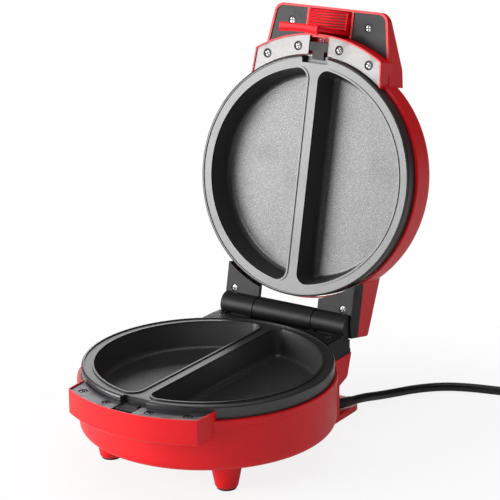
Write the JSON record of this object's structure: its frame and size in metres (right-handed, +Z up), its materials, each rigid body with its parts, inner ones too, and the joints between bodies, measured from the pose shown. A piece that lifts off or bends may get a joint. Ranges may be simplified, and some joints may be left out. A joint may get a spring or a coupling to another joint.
{
  "type": "electric omelette maker",
  "caption": "Hinged round electric omelette maker with half-moon pocket plates, front latch, release buttons, feet and cord.",
  "frame": {"origin": "on the table, under the centre of the lower cooking plate", "axes": "+X right, -Y towards the handle and latch, +Z up; the hinge runs along X at the back"},
  "size_m": [0.3487, 0.4023, 0.2929],
  "materials": {
    "red_plastic": "high-gloss moulded red",
    "plate_coating": "dark non-stick coating",
    "heater_steel": "dull steel sheath",
    "pan_steel": "aluminised sheet",
    "screw_steel": "zinc plated",
    "cover_grey": "satin sheet",
    "cover_bright": "bright sheet",
    "spring_steel": "spring wire",
    "black_plastic": "satin black",
    "dark_screws": "black screws",
    "pin_steel": "ground steel",
    "rubber": "black rubber",
    "block_plastic": "cream moulding",
    "wire_cover": "silicone sleeving",
    "cord_rubber": "black cord jacket",
    "blade_brass": "plated brass",
    "dark_plastic": "dark grey moulding",
    "lens_plastic": "clear red",
    "lamp_glass": "small glow lamps",
    "latch_plastic": "bright red moulding"
  },
  "bodies": {
    "base": {"base_housing": "red_plastic", "base_plate": "plate_coating", "base_heater": "heater_steel", "base_reflector": "pan_steel", "base_reflector_screws": "screw_steel", "base_lug_plates": "cover_grey", "base_lug_screws": "screw_steel", "base_button_spring": "spring_steel", "rear_hinge_cover": "black_plastic", "rear_cover_screws": "dark_screws", "hinge_pin": "pin_steel", "foot_pads": "rubber", "heel_pads": "rubber", "service_cover": "black_plastic", "service_screws": "dark_screws", "thermostat": "pin_steel", "thermal_fuse": "pan_steel", "terminal_block": "block_plastic", "cord_clamp": "block_plastic", "cord_clamp_screws": "screw_steel", "strain_relief": "rubber", "base_wiring": "wire_cover", "power_cord": "cord_rubber", "cord_coil": "cord_rubber", "plug_body": "rubber", "plug_blades": "blade_brass"},
    "lid": {"lid_housing": "red_plastic", "lid_plate": "plate_coating", "lid_heater": "heater_steel", "lid_reflector": "pan_steel", "lid_reflector_screws": "screw_steel", "lid_lug_plates": "cover_bright", "lid_lug_screws": "screw_steel", "lid_button_spring": "spring_steel", "hinge_arms": "black_plastic", "hinge_arm_screws": "dark_screws", "handle_covers": "dark_plastic", "handle_screws": "dark_screws", "latch_pin": "pin_steel", "lamp_lenses": "lens_plastic", "indicator_lamps": "lamp_glass", "lid_wiring": "wire_cover"},
    "latch": {"latch": "latch_plastic"},
    "base_button": {"base_release_button": "dark_plastic"},
    "lid_button": {"lid_release_button": "dark_plastic"}
  },
  "joints": [
    {"name": "lid_hinge", "type": "hinge", "parent": "base", "child": "lid", "pos_m": [0, 0.1045, 0.0701], "axis": [1, 0, 0], "range_deg": [0, 102]},
    {"name": "latch_hinge", "type": "hinge", "parent": "lid", "child": "latch", "pos_m": [0, 0.16747, 0.28316], "axis": [1, 0, 0], "range_deg": [0, 4.24]},
    {"name": "base_release", "type": "slide", "parent": "base", "child": "base_button", "axis": [0, -1, 0], "range_m": [0, 0.0033], "stiffness_N_per_m": 250, "springref_m": -0.002, "deforming": ["base_button_spring"]},
    {"name": "lid_release", "type": "slide", "parent": "lid", "child": "lid_button", "axis": [0, 0.2079, 0.9781], "range_m": [0, 0.0033], "stiffness_N_per_m": 250, "springref_m": -0.002, "deforming": ["lid_button_spring"]}
  ]
}
